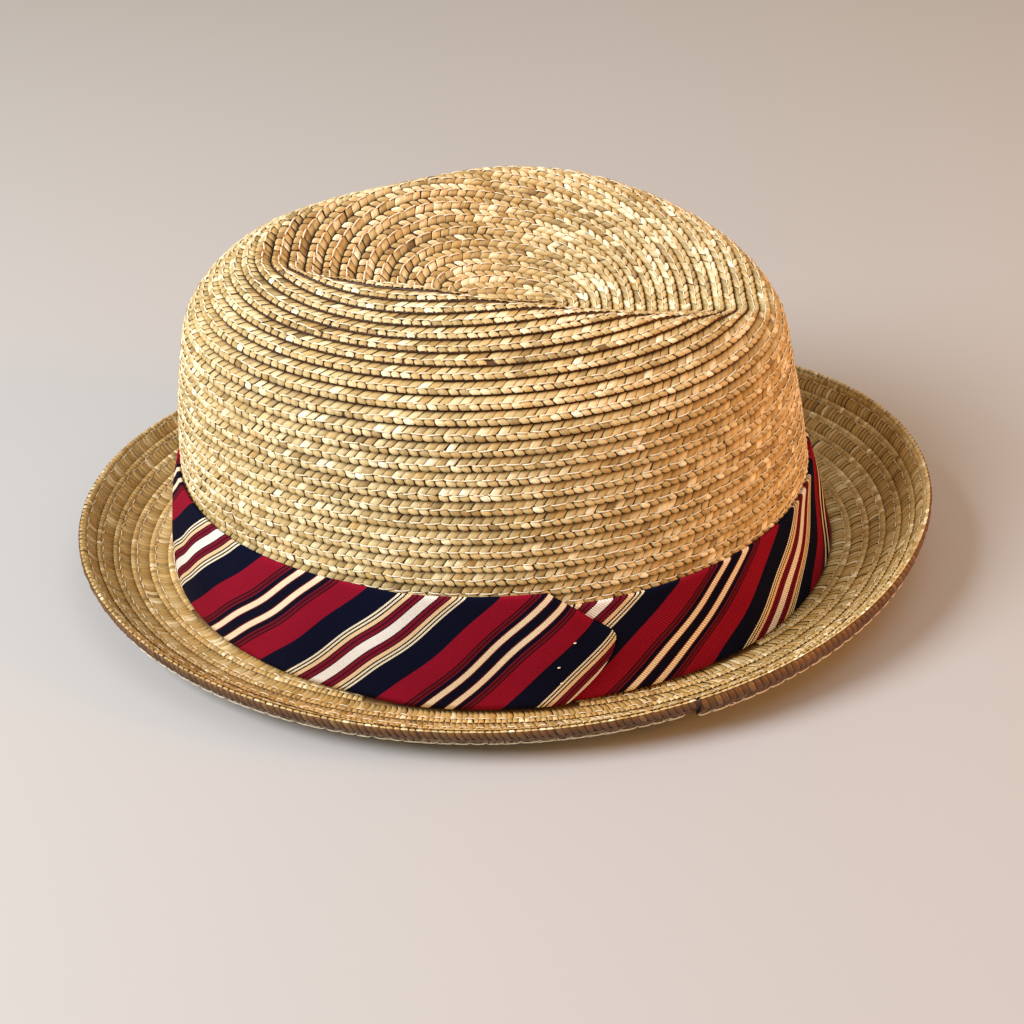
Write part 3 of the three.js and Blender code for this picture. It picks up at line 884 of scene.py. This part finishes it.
def reppMaterial():
    # the place across the leaning stripes picks the colour, and the cords shade and raise it
    slope = reppLook["slope"]
    material, tree = newMaterial("striped cotton repp")
    flat = addNode(tree, "ShaderNodeUVMap", {"uv_map": "flat"})
    parts = addNode(tree, "ShaderNodeSeparateXYZ", links={"Vector": flat})
    place = addNode(tree, "ShaderNodeTexCoord")
    slub = addNode(tree, "ShaderNodeTexNoise", links={"Vector": place.outputs["Object"]},
                   values=reppLook["slub"])
    made = {"x": parts.outputs["X"], "y": parts.outputs["Y"], "slub": slub}
    # sums in order: name, operation and inputs, which are earlier names or fixed values;
    # cords run square to the stripes, so they are counted along the stripe
    for name, operation, *inputs in (
        ("lower", "SUBTRACT", "y", reppLook["middleHeight"]),
        ("across", "MULTIPLY_ADD", "lower", -1 / math.tan(slope), "x"),
        ("lengthwise", "MULTIPLY", "x", math.cos(slope)),
        ("along", "MULTIPLY_ADD", "y", math.sin(slope), "lengthwise"),
        ("turns", "MULTIPLY", "along", 2 * math.pi / reppLook["cordMm"]),
        ("cord", "SINE", "turns"),
        ("toothed", "MULTIPLY_ADD", "cord", reppLook["tooth"], "across"),
        ("folded", "PINGPONG", "toothed", halfRepeat),
        ("share", "DIVIDE", "folded", halfRepeat),
        ("lit", "MULTIPLY_ADD", "cord", reppLook["cordShade"], reppLook["shade"]),
        ("tint", "MULTIPLY_ADD", "slub", reppLook["slubShade"], "lit"),
    ):
        links = {i: made[value] for i, value in enumerate(inputs) if isinstance(value, str)}
        values = {i: value for i, value in enumerate(inputs) if i not in links}
        made[name] = addNode(tree, "ShaderNodeMath", {"operation": operation}, links, values)
    ramp = addNode(tree, "ShaderNodeValToRGB", links={"Fac": made["share"]})
    starts = np.concatenate([[0], np.cumsum([width for _, width in stripes])[:-1]]) / halfRepeat
    stops = [(float(place), code) for place, (code, _) in zip(starts, stripes)]
    setRamp(ramp.color_ramp, stops, "CONSTANT")
    grey = addNode(tree, "ShaderNodeCombineXYZ", links={key: made["tint"] for key in "XYZ"})
    woven = addNode(tree, "ShaderNodeVectorMath", {"operation": "MULTIPLY"}, {0: ramp, 1: grey})
    bump = addNode(tree, "ShaderNodeBump", links={"Height": made["cord"]}, values=reppLook["bump"])
    shader = addNode(tree, "ShaderNodeBsdfPrincipled", links={"Base Color": woven, "Normal": bump},
                     values=reppLook["cloth"])
    addNode(tree, "ShaderNodeOutputMaterial", links={"Surface": shader})
    return material


repp = reppMaterial()
points, uv = bandPoints()
loop = points.shape[1]
quads = gridQuads(band["steps"] + 1, loop + 1)
row, column = quads // (loop + 1), quads % (loop + 1) % loop
faces = row * loop + column
caps = (list(range(loop))[::-1], list(range(band["steps"] * loop, (band["steps"] + 1) * loop)))
hatBand = makePiece("hat_band", points, faces, repp, "band_cloth", uv, extra=caps)
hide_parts("band")

# Tacks: three short stitches that show on the lapped end, at (degrees round, height in mm);
# each is seated at the band's point nearest to one that lies clear of the wall
tack = {
    "places": ((13.5, 22.5), (10.5, 15.5), (10.6, 10.75)), "length": 1.0, "width": 0.42, "points": 5,
    "clear": 8.0, "sunk": 0.1,
}


def tackMesh(front):
    # half round dashes on the nearest point of the band's face, lengthwise round the hat
    steps = np.linspace(-1, 1, tack["points"])
    a, c = np.meshgrid(steps, steps, indexing="ij")
    rise = tack["width"] * np.sqrt(1 - c**2) * (1 - a**4) - tack["sunk"]
    dashes, faces = [], []
    for degrees, height in tack["places"]:
        angle = np.radians([degrees])
        clear = besideCrown(angle, height, np.array([tack["clear"]]))[0]
        normal = clear - besideCrown(angle, height, np.array([tack["clear"] - 1]))[0]
        seat = front[np.linalg.norm(front - clear, axis=1).argmin()]
        along = np.cross((0.0, 0.0, 1.0), normal)
        along = along / np.linalg.norm(along)
        shape = [a * tack["length"] / 2, c * tack["width"] / 2, rise]
        axes = [along, np.cross(normal, along), normal]
        dash = seat + sum(size[..., None] * axis for size, axis in zip(shape, axes))
        faces.append(gridQuads(*a.shape) + len(dashes) * a.size)
        dashes.append(dash.reshape(-1, 3))
    return np.concatenate(dashes), np.concatenate(faces)


bandFront = points[:, :band["frontPoints"]].reshape(-1, 3)
makePiece("band_tacks", *tackMesh(bandFront), cottonThread, "band_cloth")

# Camera at the photograph's angle: azimuth, elevation and roll in degrees, distance in millimetres,
# focal length and aim in pixels, sensor in millimetres, clipping in metres
shot = {"azimuth": 92.62, "elevation": 34.41, "roll": 2.595, "focal": 1850.0, "distance": 597.7,
        "aimX": 502.28, "aimY": 524.99, "middle": 512.0, "image": 1024.0, "sensor": 36.0,
        "clip": (0.01, 20.0)}
azimuth, elevation, roll = (math.radians(shot[key]) for key in ("azimuth", "elevation", "roll"))
level = math.cos(elevation)
backward = np.array([level * math.sin(azimuth), -level * math.cos(azimuth), math.sin(elevation)])
sideways = np.array([math.cos(azimuth), math.sin(azimuth), 0.0])
upward = np.cross(backward, sideways)
right = math.cos(roll) * sideways - math.sin(roll) * upward
up = math.sin(roll) * sideways + math.cos(roll) * upward
aim = np.array([hat["shiftX"], hat["shiftY"], hat["foot"]])
offX = (shot["aimX"] - shot["middle"]) / shot["focal"] * shot["distance"]
offY = (shot["middle"] - shot["aimY"]) / shot["focal"] * shot["distance"]
eye = aim - offX * right - offY * up + shot["distance"] * backward
lens = bpy.data.cameras.new("camera")
lens.sensor_width = shot["sensor"]
lens.lens = shot["focal"] * shot["sensor"] / shot["image"]
lens.clip_start, lens.clip_end = shot["clip"]
camera = newObject("camera", lens)
camera.matrix_world = Matrix([*np.column_stack([right, up, backward, eye * mm]).tolist(), [0, 0, 0, 1]])
bpy.context.scene.camera = camera
bpy.context.scene.view_settings.view_transform = "Standard"

# Pale floor and soft light: a large key from the picture's left, a warm fill from its right, a pale light
# overhead and a warm room; each light has its place and size in metres, power and colour
studio = {
    "floor": "#aeb0b3", "floorSize": 6.0, "floorRoughness": 0.8, "aim": (0, 0, 0.05),
    "key": ((0.36, -0.84, 0.85), 0.7, 20.0, "#fcfcff"),
    "fill": ((0.2, 1.1, 0.42), 0.45, 8.2, "#ff9830"),
    "sky": ((0.15, 0.3, 1.2), 0.9, 3.6, "#eaf0ff"),
    "room": "#ecd2a4", "roomStrength": 0.58,
}


def softLight(name, place, size, power, colour):
    # a round area light turned towards the hat
    lamp = bpy.data.lights.new(name, "AREA")
    lamp.shape, lamp.size, lamp.energy = "DISK", size, power
    lamp.color = hexColour(colour)[:3]
    stand = newObject(name, lamp)
    stand.location = place
    stand.rotation_mode = "QUATERNION"
    stand.rotation_quaternion = (Vector(studio["aim"]) - Vector(place)).to_track_quat("-Z", "Y")


for name in ("key", "fill", "sky"):
    softLight(name, *studio[name])
room = bpy.data.worlds.new("room")
room.use_nodes = True
background = room.node_tree.nodes["Background"]
background.inputs["Color"].default_value = hexColour(studio["room"])
background.inputs["Strength"].default_value = studio["roomStrength"]
bpy.context.scene.world = room
half = studio["floorSize"] / 2
floorMesh = bpy.data.meshes.new("floor")
floorCorners = [(-half, -half, 0), (half, -half, 0), (half, half, 0), (-half, half, 0)]
floorMesh.from_pydata(floorCorners, [], [(0, 1, 2, 3)])
floorPaint, floorTree = newMaterial("matt floor paint")
floorShader = addNode(floorTree, "ShaderNodeBsdfPrincipled",
                      values={"Base Color": hexColour(studio["floor"]),
                              "Roughness": studio["floorRoughness"]})
addNode(floorTree, "ShaderNodeOutputMaterial", links={"Surface": floorShader})
floorMesh.materials.append(floorPaint)
floor = newObject("floor", floorMesh)
print("camera, light and floor set")
